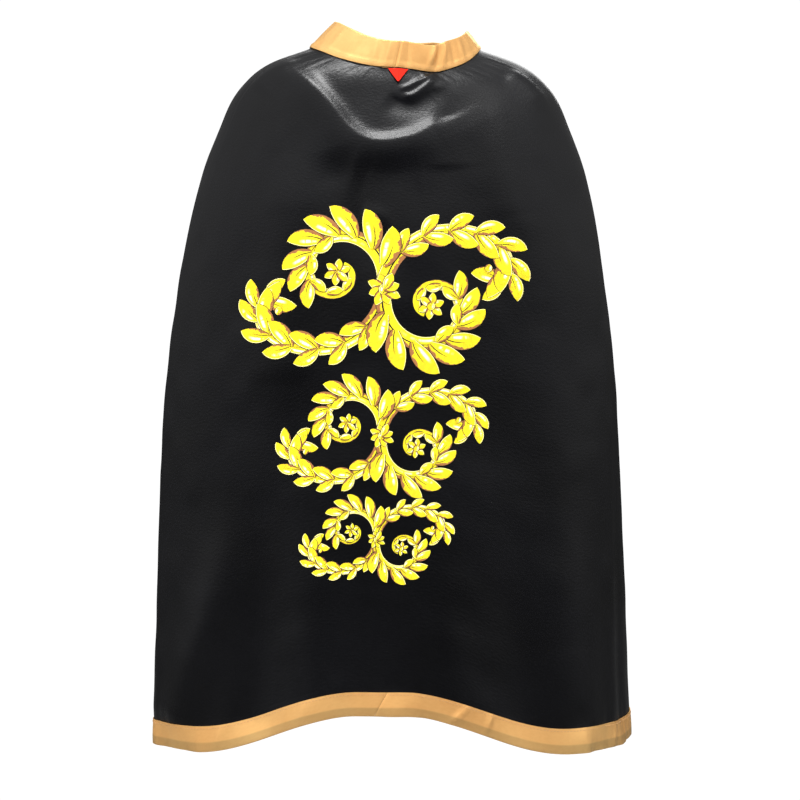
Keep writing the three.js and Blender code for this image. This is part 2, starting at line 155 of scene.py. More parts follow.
foldSettings = {
    "seed": 11,
    "waveHeight": 1.5,  # mm, slow unevenness all over
    "puckerHeight": 0.3,  # mm, at the seams
    "hemTwist": 3.0,  # mm, at the lower edge
    # soft rolls and hollows of the back: points (across, height), half width above and below, height out; all mm
    "rolls": [
        ([(-112, -18), (-88, -36), (-71, -53), (-57, -70), (-46, -85), (-29, -98), (-9, -101), (18, -96), (36, -86)],
         9.0, 24, 4.3),
        ([(-62, -104), (-52, -136), (-38, -170), (-10, -214)], 18, 22, -3.0),
        ([(-40, -124), (-10, -132), (24, -128)], 17, 40, -2.4),
        ([(2, -48), (11, -45.5), (21, -40), (36, -33)], 2.4, 2.4, 1.3),
        ([(6, -52), (13, -54), (20, -51.5), (27, -46), (36, -38)], 2.4, 3.0, 1.5),
        ([(-8, -54), (6, -62), (20, -63), (36, -52)], 5, 12, -2.2),
        ([(108, -26), (124, -34), (142, -52)], 6, 10, 2.4),
        ([(-138, -44), (-124, -30), (-104, -20)], 6, 12, 1.6),
        ([(-32, -166), (-14, -171)], 8, 10, 1.6),
        ([(70, -52), (94, -90), (110, -170)], 22, 26, 2.6),
        ([(-96, -110), (-108, -220), (-112, -330)], 28, 28, 2.8),
        ([(-122, -400), (-124, -520), (-130, -640)], 24, 24, -8.0),
        ([(-160, -430), (-172, -510), (-206, -640)], 19, 19, 7.5),
        ([(-86, -440), (-84, -560), (-72, -660)], 22, 22, 4.5),
        ([(-30, -500), (-26, -600), (-30, -660)], 24, 24, -2.0),
        ([(40, -440), (46, -540), (64, -660)], 24, 24, 3.6),
        ([(98, -400), (112, -520), (122, -660)], 26, 26, -5.0),
        ([(150, -240), (160, -420), (172, -660)], 26, 26, 5.4),
        ([(196, -360), (204, -520), (208, -660)], 17, 17, -4.0),
        ([(-12, -560), (-8, -610), (0, -650)], 10, 10, 1.4),
        ([(18, -575), (24, -620), (30, -650)], 9, 9, -1.2),
    ],
    # flutes of the sides and the front: degrees from the back at the neck and at the hem, half width in degrees, mm
    "flutes": [
        (104, 100, 8, 7.5), (118, 116, 6, -6.0), (128, 131, 5, 5.5), (84, 80, 6, -3.5),
        (-100, -97, 8, -6.0), (-114, -113, 6, 7.0), (-127, -129, 5, -5.0), (-84, -78, 6, 3.5),
        (-140, -140, 4, 3.0), (141, 141, 4, -3.0),
    ],
}


def softLine(points, count):
    p = np.array(points, float)
    last = len(p) - 1
    t = np.linspace(0, last, count)
    i = np.minimum(t.astype(int), last - 1)
    f = (t - i)[:, None]
    a, b, c, d = p[np.maximum(i - 1, 0)], p[i], p[i + 1], p[np.minimum(i + 2, last)]
    return 0.5 * (2 * b + (c - a) * f + (2 * a - 5 * b + 4 * c - d) * f**2 + (3 * b - a - 3 * c + d) * f**3)


def toLine(x, z, points):
    # distance from each place to a bent line, how far along it the nearest point is, and 1 where the place is below
    best = np.full(x.shape, 1e9)
    along = np.zeros(x.shape)
    below = np.zeros(x.shape)
    points = np.array(points, float)
    lengths = np.linalg.norm(np.diff(points, axis=0), axis=1)
    total, done = lengths.sum(), 0.0
    for a, b, length in zip(points[:-1], points[1:], lengths):
        t = ((x - a[0]) * (b[0] - a[0]) + (z - a[1]) * (b[1] - a[1])) / length**2
        t = np.clip(t, 0, 1)
        far = np.hypot(x - (a[0] + t * (b[0] - a[0])), z - (a[1] + t * (b[1] - a[1])))
        right = (z - a[1]) * (b[0] - a[0]) - (x - a[0]) * (b[1] - a[1])
        nearer = far < best
        best = np.where(nearer, far, best)
        along = np.where(nearer, (done + t * length) / total, along)
        below = np.where(nearer, smoothStep(-right / length, -5, 5), below)
        done += length
    return best, along, below


def softNoise(u, v, seed):
    # smooth unevenness from -1 to 1, one cell per unit
    rng = np.random.default_rng(seed)
    grid = rng.uniform(-1, 1, (64, 64))
    iu, iv = np.floor(u).astype(int), np.floor(v).astype(int)
    fu, fv = u - iu, v - iv
    fu, fv = fu**3 * (fu * (fu * 6 - 15) + 10), fv**3 * (fv * (fv * 6 - 15) + 10)
    g = lambda i, j: grid[i % 64, j % 64]
    low = lerp(g(iu, iv), g(iu + 1, iv), fu)
    high = lerp(g(iu, iv + 1), g(iu + 1, iv + 1), fu)
    return lerp(low, high, fv)


def foldHeight(angle, share):
    rest = restPoint(angle, share)
    x, z = rest[..., 0], rest[..., 2]
    rear = smoothStep(np.cos(angle), -0.05, 0.2)
    height = np.zeros(x.shape)
    for points, above, under, out in foldSettings["rolls"]:
        line = softLine(points, 3 * len(points) - 2)
        reach = 2.6 * max(above, under)
        low, high = line.min(0) - reach, line.max(0) + reach
        near = (x > low[0]) & (x < high[0]) & (z > low[1]) & (z < high[1]) & (rear > 0)
        if not near.any():
            continue
        far, along, below = toLine(x[near], z[near], line)
        width = lerp(above, under, below)
        ends = smoothStep(along, -0.02, 0.25) * smoothStep(1 - along, -0.25, 0.12)
        if abs(points[-1][1]) > 630:
            ends = smoothStep(along, 0, 0.8)
        height[near] += rear[near] * out * ends * np.exp(-((far / width) ** 2))
    degrees = np.degrees(angle)
    for atNeck, atHem, width, out in foldSettings["flutes"]:
        centre = lerp(atNeck, atHem, share)
        grown = smoothStep(share, 0.08, 0.8)
        height += out * grown * np.exp(-(((degrees - centre) / width) ** 2))
    arc = degrees * 3.2
    wave = softNoise(arc / 70 + 9, share * 9, foldSettings["seed"]) + 0.45 * softNoise(arc / 27, share * 24, 5)
    height += foldSettings["waveHeight"] * wave * smoothStep(share, 0.03, 0.15) * 0.6
    # the seams draw the cloth into little puckers
    neck = np.exp(-((share * maxDrop - 6) / 14) ** 2) * softNoise(degrees / 3.3, share * 22, 7)
    hem = np.exp(-(((1 - share) * maxDrop - 30) / 22) ** 2) * softNoise(arc / 9, share * 22, 8)
    # the hem's own weight twists it in and out a little
    level = np.zeros(np.shape(share))
    swing = softNoise(degrees / 10 + 3, level + 0.3, 17) + 0.5 * softNoise(degrees / 4.3, level + 0.6, 18)
    height += foldSettings["hemTwist"] * swing * np.clip(1 - (1 - share) * maxDrop / 30, 0, 1) ** 1.3
    return height + foldSettings["puckerHeight"] * (neck * 0.7 + hem) * smoothStep(share, 0, 0.008)


def outwards(surface, a, b, stepA, stepB):
    # the outward direction of a surface given by two numbers
    along = surface(a + stepA, b) - surface(a - stepA, b)
    up = surface(a, b - stepB) - surface(a, b + stepB)
    normal = np.cross(along, up)
    return normal / np.linalg.norm(normal, axis=-1, keepdims=True)


def capeSurface(angle, share):
    normal = outwards(restPoint, angle, share, 2e-3, 2e-3)
    return restPoint(angle, share) + normal * foldHeight(angle, share)[..., None]


def sameShape(*values):
    return np.broadcast_arrays(*(np.asarray(value, float) for value in values))


def onCape(angle, share, lift):
    # a point on the folded cloth, lifted from it along its own normal
    angle, share, lift = sameShape(angle, share, lift)
    return capeSurface(angle, share) + outwards(capeSurface, angle, share, 1.5e-3, 1.5e-3) * lift[..., None]


# the collar's surface

collarShape = {"topSide": 64.0, "topBack": 47.0, "topFront": 43.0, "rise": 26.0, "overLift": 6.55,
               "lean": 6.0, "droop": 0.3, "creaseHeight": 2.0}
# creases of the collar: angle in degrees at its lower and upper edge, half width in degrees, mm
collarCreases = [(21, 31, 2.2, 1.0), (27, 35, 1.6, -0.9), (33, 41, 1.8, 0.9), (44, 47, 2.5, -0.6), (54, 58, 3, 0.6),
                 (-14, -20, 3, 0.5), (-34, -31, 3, -0.5), (-52, -55, 3, 0.5), (8, 6, 1.6, -0.5), (-6, -9, 2, 0.4)]


def collarRest(angle, height):
    share = height / collarShape["rise"]
    rear = np.cos(angle) > 0
    across = lerp(capeShape["neckSide"], collarShape["topSide"], share)
    deep = np.where(rear, lerp(capeShape["neckBack"], collarShape["topBack"], share),
                    lerp(capeShape["neckFront"], collarShape["topFront"], share))
    lean = collarShape["lean"] * share * (1 - smoothStep(degreesFromBack(angle), 95, 130))
    up = height * (1 - collarShape["droop"] * onRight(angle, 40, 85, 120, 146))
    return np.stack([across * np.sin(angle) + lean, -deep * np.cos(angle), neckZ(angle) + up], -1)


def onCollar(angle, height, lift):
    angle, height, lift = sameShape(angle, height, lift)
    share = np.clip(height / collarShape["rise"], 0, 1)
    degrees = np.degrees(angle)
    crease = np.zeros(angle.shape)
    for low, high, width, out in collarCreases:
        crease += out * np.exp(-(((degrees - lerp(low, high, share)) / width) ** 2))
    crease = crease * np.sin(np.pi * np.clip(share * 0.9 + 0.05, 0, 1)) * collarShape["creaseHeight"]
    crease += 0.7 * softNoise(degrees / 7, share * 1.3, 21)
    # the left end passes over the right one at the front
    over = collarShape["overLift"] * smoothStep(capeShape["neckSide"] * np.sin(angle), -13, 1.5) * (angle < -2.0)
    normal = outwards(collarRest, angle, height, 1e-3, -0.5)
    return collarRest(angle, height) + normal * (lift + crease + over)[..., None]


# making meshes

def addToScene(name, data):
    obj = bpy.data.objects.new(name, data)
    bpy.context.scene.collection.objects.link(obj)
    return obj


def addUv(mesh, name, uvs):
    layer = mesh.uv_layers.new(name=name)
    index = np.zeros(len(mesh.loops), int)
    mesh.loops.foreach_get("vertex_index", index)
    layer.data.foreach_set("uv", np.asarray(uvs, float)[index].ravel())


def meshObject(name, points, faces, uvs, slots, materials):
    mesh = bpy.data.meshes.new(name)
    mesh.from_pydata((np.asarray(points) / 1000).tolist(), [], [list(map(int, f)) for f in faces])
    if uvs is not None:
        addUv(mesh, "UVMap", uvs)
    for material in materials:
        mesh.materials.append(material)
    if slots is not None:
        mesh.polygons.foreach_set("material_index", np.asarray(slots, int))
    mesh.polygons.foreach_set("use_smooth", np.ones(len(mesh.polygons), bool))
    mesh.validate()
    mesh.update()
    mesh.set_sharp_from_angle(angle=math.radians(48))
    return addToScene(name, mesh)


def gridFaces(rows, cols, start=0, flip=False, closed=False):
    # closed joins the last row to the first
    r = np.arange(rows if closed else rows - 1)[:, None]
    c = np.arange(cols - 1)[None, :]
    a = r * cols + c
    b = ((r + 1) % rows) * cols + c
    quads = np.stack([a, b, b + 1, a + 1], -1).reshape(-1, 4) + start
    return quads[:, ::-1] if flip else quads


def sheetFaces(rows, cols, start=0):
    # the outer face, the inner face, and the rim between them
    count = rows * cols
    index = np.arange(count).reshape(rows, cols) + start
    ring = np.concatenate([index[0, :], index[1:, -1], index[-1, -2::-1], index[-2:0:-1, 0]])
    following = np.roll(ring, -1)
    rim = np.stack([ring, following, following + count, ring + count], -1)
    return [gridFaces(rows, cols, start), gridFaces(rows, cols, start + count, True), rim]


def sheetObject(name, place, rows, cols, thick, materials, uvOf):
    # a thin cloth with an outer and an inner face: place(u, v, lift), rows run down and columns along
    v, u = np.meshgrid(np.linspace(0, 1, rows), np.linspace(0, 1, cols), indexing="ij")
    points = np.concatenate([place(u, v, lift).reshape(-1, 3) for lift in (0.0, -thick)])
    uvs = np.concatenate([uvOf(u, v).reshape(-1, 2)] * 2)
    faces = sheetFaces(rows, cols)
    slots = np.repeat([0, 1, 0], [len(part) for part in faces])
    return meshObject(name, points, np.concatenate(faces), uvs, slots, materials)


def stripObject(name, place, section, cols, material, uvOf):
    # a folded strip: section is a closed list of (lift, height), swept along u; place(u, height, lift)
    section = np.asarray(section, float)
    u = np.linspace(0, 1, cols)
    lift = np.meshgrid(section[:, 0], u, indexing="ij")[0]
    height, u = np.meshgrid(section[:, 1], u, indexing="ij")
    rows = len(section)
    start = np.arange(rows) * cols
    faces = gridFaces(rows, cols, closed=True).tolist() + [start.tolist(), (start + cols - 1)[::-1].tolist()]
    points, uvs = place(u, height, lift).reshape(-1, 3), uvOf(u, height, lift).reshape(-1, 2)
    return meshObject(name, points, faces, uvs, None, [material])


def stitchesObject(name, path, pitch, length, thick, material):
    # separate stitches laid along a line of points with their outward directions
    line, out = path
    gaps = np.linalg.norm(np.diff(line, axis=0), axis=1)
    run = np.concatenate([[0], np.cumsum(gaps)])
    starts = np.arange(pitch * 0.4, run[-1] - length, pitch)
    rings, around, sink = 7, 6, 0.35
    allPoints, allFaces = [], []
    for k, begin in enumerate(starts):
        t = np.linspace(0, 1, rings)
        at = begin + t * length
        centre = np.stack([np.interp(at, run, line[:, i]) for i in range(3)], -1)
        up = np.stack([np.interp(at, run, out[:, i]) for i in range(3)], -1)
        up /= np.linalg.norm(up, axis=1)[:, None]
        ahead = np.gradient(centre, axis=0)
        ahead /= np.linalg.norm(ahead, axis=1)[:, None]
        side = np.cross(ahead, up)
        arch = np.sqrt(np.clip(1 - (2 * t - 1) ** 4, 0, 1))
        centre = centre + up * ((arch - sink) * thick * 0.8)[:, None] + side * (((k * 7) % 5 - 2) * 0.03)
        radius = thick / 2 * (0.45 + 0.55 * arch)
        turn = np.linspace(0, 2 * np.pi, around, endpoint=False)
        across = np.cos(turn)[None, :, None] * side[:, None] + np.sin(turn)[None, :, None] * up[:, None]
        ring = centre[:, None] + radius[:, None, None] * across
        base = k * (rings * around)
        allPoints.append(ring.reshape(-1, 3))
        for r in range(rings - 1):
            for a in range(around):
                b = (a + 1) % around
                allFaces.append([base + r * around + a, base + r * around + b,
                                 base + (r + 1) * around + b, base + (r + 1) * around + a])
        allFaces.append([base + a for a in range(around)][::-1])
        allFaces.append([base + (rings - 1) * around + a for a in range(around)])
    return meshObject(name, np.concatenate(allPoints), allFaces, None, None, [material])


# finishes

def newGroup(name, inputs, outputs):
    group = bpy.data.node_groups.new(name, "ShaderNodeTree")
    for label, kind, value in inputs:
        socket = group.interface.new_socket(name=label, in_out="INPUT", socket_type="NodeSocket" + kind)
        if value is not None:
            socket.default_value = value
    for label in outputs:
        group.interface.new_socket(name=label, in_out="OUTPUT", socket_type="NodeSocketFloat")
    return group, group.nodes.new("NodeGroupInput").outputs, group.nodes.new("NodeGroupOutput").inputs


def addNode(tree, kind, inputs=None, **settings):
    # a shader node; each input is given a value or linked to another node's output
    node = tree.nodes.new("ShaderNode" + kind)
    for key, value in settings.items():
        setattr(node, key, value)
    for key, value in (inputs or {}).items():
        if isinstance(value, bpy.types.NodeSocket):
            tree.links.new(value, node.inputs[key])
        else:
            node.inputs[key].default_value = value
    return node


def mathNode(tree, operation, a, b=None):
    inputs = {i: value for i, value in enumerate((a, b)) if value is not None}
    return addNode(tree, "Math", inputs, operation=operation).outputs[0]


def mapRange(tree, value, fromLow, fromHigh, toLow=0.0, toHigh=1.0, curve="SMOOTHSTEP"):
    return addNode(tree, "MapRange", {"Value": value, "From Min": fromLow, "From Max": fromHigh, "To Min": toLow,
                                      "To Max": toHigh}, interpolation_type=curve).outputs[0]


def spread(tree, value, low, high):
    # a noise's middle range, stretched between two values
    return mapRange(tree, value, 0.3, 0.7, low, high, "LINEAR")


def noiseNode(tree, vector, scale, detail, roughness=0.5):
    return addNode(tree, "TexNoise", {"Vector": vector, "Scale": scale, "Detail": detail,
                                      "Roughness": roughness}).outputs["Fac"]


def makeSatinWeave():
    # long floating threads: fine streaks across, with slubs and a little unevenness
    group, given, made = newGroup("satinWeave", [("Vector", "Vector", None), ("Threads", "Float", 1600.0),
                                                 ("Slub", "Float", 0.5)], ["Height", "Tone"])

    def stretched(across):
        return addNode(group, "Mapping", {"Vector": given["Vector"], "Scale": (across, 1.0, 1.0)}).outputs[0]

    threads = noiseNode(group, stretched(0.16), given["Threads"], 2.0, 0.6)
    slub = noiseNode(group, stretched(0.7), 420.0, 3.0)
    cloud = noiseNode(group, given["Vector"], 9.0, 4.0)
    height = mathNode(group, "ADD", mathNode(group, "MULTIPLY", threads, 0.35),
                      mathNode(group, "MULTIPLY", slub, given["Slub"]))
    tone = mathNode(group, "ADD", mathNode(group, "MULTIPLY", cloud, 0.85), mathNode(group, "MULTIPLY", slub, 0.15))
    group.links.new(height, made["Height"])
    group.links.new(tone, made["Tone"])
    return group


def makeFibreFuzz():
    # matt cloth, pile or spun thread: small crossing fibres
    group, given, made = newGroup("fibreFuzz", [("Vector", "Vector", None), ("Scale", "Float", 900.0),
                                                ("Stretch", "Float", 1.0)], ["Height", "Tone"])
    stretch = addNode(group, "CombineXYZ", {"X": given["Stretch"], "Y": 1.0, "Z": 1.0}).outputs[0]
    where = addNode(group, "VectorMath", {0: given["Vector"], 1: stretch}, operation="MULTIPLY").outputs[0]
    fine = noiseNode(group, where, given["Scale"], 4.0, 0.7)
    cells = addNode(group, "TexVoronoi", {"Vector": where, "Scale": given["Scale"]}).outputs["Distance"]
    group.links.new(mathNode(group, "ADD", fine, mathNode(group, "MULTIPLY", cells, 0.5)), made["Height"])
    group.links.new(fine, made["Tone"])
    return group


satinWeave = makeSatinWeave()
fibreFuzz = makeFibreFuzz()


def startMaterial(name):
    material = bpy.data.materials.new(name)
    material.use_nodes = True
    return material, material.node_tree, material.node_tree.nodes["Principled BSDF"]


def colourMix(tree, factor, a, b, blend="MIX"):
    a, b = ((*c, 1.0) if isinstance(c, tuple) else c for c in (a, b))
    return addNode(tree, "Mix", {0: factor, 6: a, 7: b}, data_type="RGBA", blend_type=blend).outputs[2]


def uvVector(tree, name="UVMap"):
    return addNode(tree, "UVMap", uv_map=name).outputs[0]


def bumpFrom(tree, shader, height, distance):
    bump = addNode(tree, "Bump", {"Height": height, "Distance": distance, "Strength": 1.0})
    tree.links.new(bump.outputs[0], shader.inputs["Normal"])


def placeGroup(tree, group, vector, **values):
    return addNode(tree, "Group", {"Vector": vector, **values}, node_tree=group).outputs


def setShader(shader, values):
    for name, value in values.items():
        shader.inputs[name].default_value = value


# bump is in metres; shader holds what is the same all over the cloth
satinLooks = {
    "blackSatin": {"dark": (0.0005, 0.0005, 0.0009), "light": (0.0019, 0.0020, 0.0032), "rough": (0.26, 0.35),
                   "slub": 3.2, "bump": 0.00006, "shader": {"Sheen Weight": 0.0, "Specular IOR Level": 0.34}},
    "blackReverse": {"dark": (0.006, 0.006, 0.007), "light": (0.014, 0.014, 0.016), "rough": (0.55, 0.68),
                     "slub": 0.5, "bump": 0.00004,
                     "shader": {"Sheen Weight": 0.2, "Sheen Tint": (0.5, 0.5, 0.55, 1), "Specular IOR Level": 0.3}},
    "goldSatin": {"dark": (0.71, 0.34, 0.11), "light": (0.90, 0.54, 0.20), "rough": (0.28, 0.38),
                  "slub": 0.1, "bump": 0.00004,
                  "shader": {"Sheen Weight": 0.04, "Sheen Tint": (1.0, 0.86, 0.62, 1), "Metallic": 0.4,
                             "Specular IOR Level": 0.9, "Specular Tint": (1.0, 0.93, 0.45, 1)}},
}
# the cloth inside the hem ends above the fold, so the lowest 8 mm of the band looks thinner and greyer
satinLooks["goldHem"] = dict(satinLooks["goldSatin"], unlined=(0.72, 0.76, 0.80))
satinThreads = 2600.0
unlinedEdge = (0.0092, 0.0072)


def makeSatin(name):
    look = satinLooks[name]
    material, tree, shader = startMaterial(name)
    weave = placeGroup(tree, satinWeave, uvVector(tree), Threads=satinThreads, Slub=look["slub"])
    colour = colourMix(tree, spread(tree, weave["Tone"], 0.0, 1.0), look["dark"], look["light"])
    if "unlined" in look:
        height = addNode(tree, "SeparateXYZ", {0: uvVector(tree)}).outputs["Y"]
        edge = mapRange(tree, mathNode(tree, "PINGPONG", height, 0.05), *unlinedEdge)
        colour = colourMix(tree, edge, colour, look["unlined"], "MULTIPLY")
    tree.links.new(colour, shader.inputs["Base Color"])
    tree.links.new(spread(tree, weave["Tone"], *look["rough"]), shader.inputs["Roughness"])
    setShader(shader, {"Sheen Roughness": 0.4, **look["shader"]})
    bumpFrom(tree, shader, weave["Height"], look["bump"])
    return material


blackSatin, blackReverse, goldSatin, goldHem = map(makeSatin, ("blackSatin", "blackReverse", "goldSatin", "goldHem"))


def makeFuzzy(name, dark, light, rough, scale, stretch, bump, sheen=0.3, specular=0.4):
    material, tree, shader = startMaterial(name)
    where = addNode(tree, "TexCoord").outputs["Object"]
    fuzz = placeGroup(tree, fibreFuzz, where, Scale=scale, Stretch=stretch)
    tree.links.new(colourMix(tree, spread(tree, fuzz["Tone"], 0, 1), dark, light), shader.inputs["Base Color"])
    tree.links.new(spread(tree, fuzz["Tone"], rough - 0.08, rough + 0.08), shader.inputs["Roughness"])
    setShader(shader, {"Sheen Weight": sheen, "Specular IOR Level": specular})
    bumpFrom(tree, shader, fuzz["Height"], bump)
    return material


goldThread = makeFuzzy("goldThread", (0.50, 0.25, 0.09), (0.72, 0.42, 0.18), 0.55, 3200.0, 0.3, 0.00005)
blackThread = makeFuzzy("blackThread", (0.004, 0.004, 0.005), (0.016, 0.016, 0.018), 0.6, 3200.0, 0.3, 0.00005)
redRibbon = makeFuzzy("redRibbon", (0.62, 0.012, 0.004), (0.86, 0.026, 0.010), 0.6, 2400.0, 0.25, 0.00004, 0.0, 0.1)
whiteRibbon = makeFuzzy("whiteRibbon", (0.74, 0.73, 0.70), (0.86, 0.85, 0.82), 0.5, 2600.0, 0.2, 0.00003, 0.2)
pileTape = makeFuzzy("pileTape", (0.006, 0.006, 0.007), (0.03, 0.03, 0.034), 0.85, 1500.0, 1.0, 0.0004, 0.5)

printInk = {"yellow": (0.92, 0.80, 0.012), "warmYellow": (0.80, 0.60, 0.012), "brown": (0.36, 0.145, 0.045),
            "white": (0.98, 0.96, 0.80), "black": (0.006, 0.006, 0.007)}


def makePrintFilm():
    # UVMap holds the leaf's number plus the share along it, and the share across; edgeMap holds millimetres
    material, tree, shader = startMaterial("printFilm")
    leafAndShare, across, _ = addNode(tree, "SeparateXYZ", {0: uvVector(tree)}).outputs
    fromEdge, lengthwise, _ = addNode(tree, "SeparateXYZ", {0: uvVector(tree, "edgeMap")}).outputs

    def maths(operation, a, b=None):
        return mathNode(tree, operation, a, b)

    def ramp(value, low, high):
        return mapRange(tree, value, low, high)

    def ink(ground, mask, name):
        return colourMix(tree, mask, ground, printInk[name])

    along = maths("FRACT", leafAndShare)
    where = addNode(tree, "CombineXYZ", {0: lengthwise, 1: maths("MULTIPLY", across, 6.0),
                                         2: maths("MULTIPLY", maths("FLOOR", leafAndShare), 3.7)}).outputs[0]
    patchy, speckle = noiseNode(tree, where, 0.22, 2.0), noiseNode(tree, where, 1.6, 3.0)
    ground = colourMix(tree, ramp(patchy, 0.4, 0.62), printInk["yellow"], printInk["warmYellow"])
    # brown gathers on the shaded side, towards the root, with a ragged edge
    shaded = maths("ADD", across, maths("MULTIPLY", patchy, 0.55))
    shaded = maths("ADD", shaded, maths("MULTIPLY", along, 0.30))
    ground = ink(ground, ramp(shaded, 0.60, 0.54), "brown")
    ground = ink(ground, maths("MULTIPLY", ramp(speckle, 0.66, 0.70), ramp(shaded, 0.85, 0.62)), "brown")
    # a soft glint on the lit side, and a lit rim
    glint = ramp(maths("ABSOLUTE", maths("SUBTRACT", across, 0.70)), 0.13, 0.02)
    for mask in (ramp(along, 0.12, 0.3), ramp(along, 0.72, 0.5), ramp(patchy, 0.36, 0.5)):
        glint = maths("MULTIPLY", glint, mask)
    ground = ink(ground, glint, "white")
    rim = maths("MULTIPLY", ramp(fromEdge, 1.25, 1.0), ramp(fromEdge, 0.55, 0.75))
    rim = maths("MULTIPLY", rim, ramp(across, 0.5, 0.6))
    ground = ink(ground, maths("MULTIPLY", rim, 0.6), "white")
    # the vein, which thins towards the tip, and the outline
    veinWidth = maths("MULTIPLY", maths("SUBTRACT", 0.62, along), 0.085)
    vein = maths("LESS_THAN", maths("ABSOLUTE", maths("SUBTRACT", across, 0.42)), veinWidth)
    ground = ink(ink(ground, vein, "black"), ramp(fromEdge, 0.62, 0.42), "black")
    tree.links.new(ground, shader.inputs["Base Color"])
    tree.links.new(spread(tree, speckle, 0.42, 0.55), shader.inputs["Roughness"])
    setShader(shader, {"Specular IOR Level": 0.4})
    weave = placeGroup(tree, fibreFuzz, addNode(tree, "TexCoord").outputs["Object"], Scale=1400.0, Stretch=1.0)
    bumpFrom(tree, shader, weave["Height"], 0.00003)
    return material


printFilm = makePrintFilm()
print("finishes made")


# the black cloth

clothDetail = {"rearCols": 460, "frontCols": 64, "rows": 260, "seamAllowance": 5.0, "hemInset": 6.0}
splitLine = (64.0, 117.0)  # where the cloth's mesh is parted, in the plain part behind each fold line
edgeLine = (capeShape["edgeNeck"], capeShape["edgeHem"])


def clothRow(v):
    # rows are closer together near the neck; the first few are held inside the collar
    inside = 0.012
    share = (1 - clothDetail["hemInset"] / maxDrop) * np.clip((v - inside) / (1 - inside), 0, 1) ** 1.25
    return share, np.clip(1 - v / inside, 0, 1) * clothDetail["seamAllowance"]


def placeCloth(span, edgeAt=None):
    def place(u, v, lift):
        share, height = clothRow(v)
        angle = span(share, u)
        if edgeAt is not None:
            # the front edge is turned twice, so a narrow strip of it is thicker
            turned = 1 - smoothStep(np.abs(u - edgeAt) * lerp(50, 65, share), 6.0, 6.6)
            lift = lift + turned * np.where(lift < 0, -0.5, 0.25)
        hanging = onCape(angle, share, lift)
        held = onCollar(angle, height, lift)
        return np.where((height > 0)[..., None], held, hanging)
    return place


def clothUv(span):
    def uvOf(u, v):
        share = clothRow(v)[0]
        return np.stack([span(share, u) * 0.17, -share * 0.68], -1)
    return uvOf


def clothObject(name, spanFrom, spanTo, cols, edgeAt=None):
    def span(share, u):
        (fromSide, fromLine), (toSide, toLine) = spanFrom, spanTo
        return lerp(fromSide * frontAngle(fromLine, share), toSide * frontAngle(toLine, share), u)
    return sheetObject(name, placeCloth(span, edgeAt), clothDetail["rows"], cols, capeShape["clothThick"],
                       [blackSatin, blackReverse], clothUv(span))


backCloth = clothObject("backCloth", (-1, splitLine), (1, splitLine), clothDetail["rearCols"])
leftCloth = clothObject("leftFrontCloth", (-1, edgeLine), (-1, splitLine), clothDetail["frontCols"], 0)
rightCloth = clothObject("rightFrontCloth", (1, splitLine), (1, edgeLine), clothDetail["frontCols"], 1)
print("cloth made")


# the gold hem band

bandShape = {"height": 24.0, "gap": 0.45, "thick": 0.55, "join": (-19.0, -7.0), "cols": 330, "creaseHeight": 0.75,
             "below": 1.0, "hemHalf": 232.0, "stitchHeight": 21.4, "stitch": (3.3, 2.5, 0.42)}
# creases of the band: angle in degrees at its lower edge, lean over its height, half width in degrees, mm
bandCreases = [(13.0, 4.5, 1.0, 2.2), (16.5, 4.0, 0.7, -0.8), (21.0, 2.6, 0.8, 1.9), (27.5, -1, 1.2, -0.6),
               (-22, 1.5, 1.0, 0.7), (-46, 2, 1.4, 0.8), (52, -2, 1.5, 0.8), (70, 2, 2, 0.7), (-80, 2, 2, 0.7),
               (-8, 0.8, 0.7, -0.5), (-101, 1, 2, 0.8), (104, 1, 2, 0.8), (38, 2, 1.2, -0.5)]


def bandSection(height, gap, thick, bulge=0.25):
    # closed outline of a strip folded in two round the cloth's edge, open side up
    low, high = gap, gap + thick
    heights = np.linspace(0, 1, 9)
    outer = [(high + bulge * math.sin(math.pi * h), height * h) for h in heights[::-1]]
    turn = [(high * math.cos(a), -high * 0.7 * math.sin(a)) for a in np.linspace(0, math.pi, 9)[1:-1]]
    inner = [(-high - bulge * math.sin(math.pi * h), height * h) for h in heights]
    back = [(-low, height * h) for h in (1.0, 0.5, 0.06)]
    front = [(low, height * h) for h in (0.06, 0.5, 1.0)]
    return outer + turn + inner + back + front


def bandCrease(angle, height):
    # soft creases that cross the band, strongest at its middle
    degrees = np.degrees(angle)
    crease = np.zeros(angle.shape)
    up = height / bandShape["height"]
    for place, lean, width, out in bandCreases:
        crease += out * np.exp(-(((degrees - place - lean * up) / width) ** 2))
    crease += 0.3 * softNoise(degrees / 1.7, height / 16, 31)
    return crease * (0.25 + 0.75 * np.sin(np.pi * np.clip(up, 0, 1)))


def bandLift(crease, lift):
    # the outer layer stands up in a crease; the inner layer keeps clear of the black cloth
    return np.abs(crease) * 0.4 * np.sign(lift) + crease * np.where(lift < 0, 0.4, bandShape["creaseHeight"])


def bandPlace(startOf, endOf):
    def place(u, height, lift):
        share = 1 - (height + bandShape["below"]) / maxDrop
        angle = lerp(startOf(height, share), endOf(height, share), u)
        ends = np.minimum(u, 1 - u) * 520
        soft = 1 - 0.5 * np.exp(-((ends / 0.9) ** 2))  # thinner just at its two ends
        return onCape(angle, share, lift * soft + bandLift(bandCrease(angle, height), lift))
    return place


def joinAngle(height, shift):
    # the slanted join near the middle of the back
    x = lerp(*bandShape["join"], height / bandShape["height"]) + shift
    return np.arcsin(x / bandShape["hemHalf"])


def bandUv(u, height, lift):
    return np.stack([u * 0.5, height / 1000 + (lift < 0) * 0.1], -1)


def hemLine(fromAngle, toAngle, height, lift, count=900):
    share = 1 - (height + bandShape["below"]) / maxDrop
    angle = np.linspace(fromAngle, toAngle, count)
    lifts = lift + bandLift(bandCrease(angle, np.full(count, height)), lift)
    low = onCape(angle, share, lifts)
    return low, onCape(angle, share, lifts + 1) - low


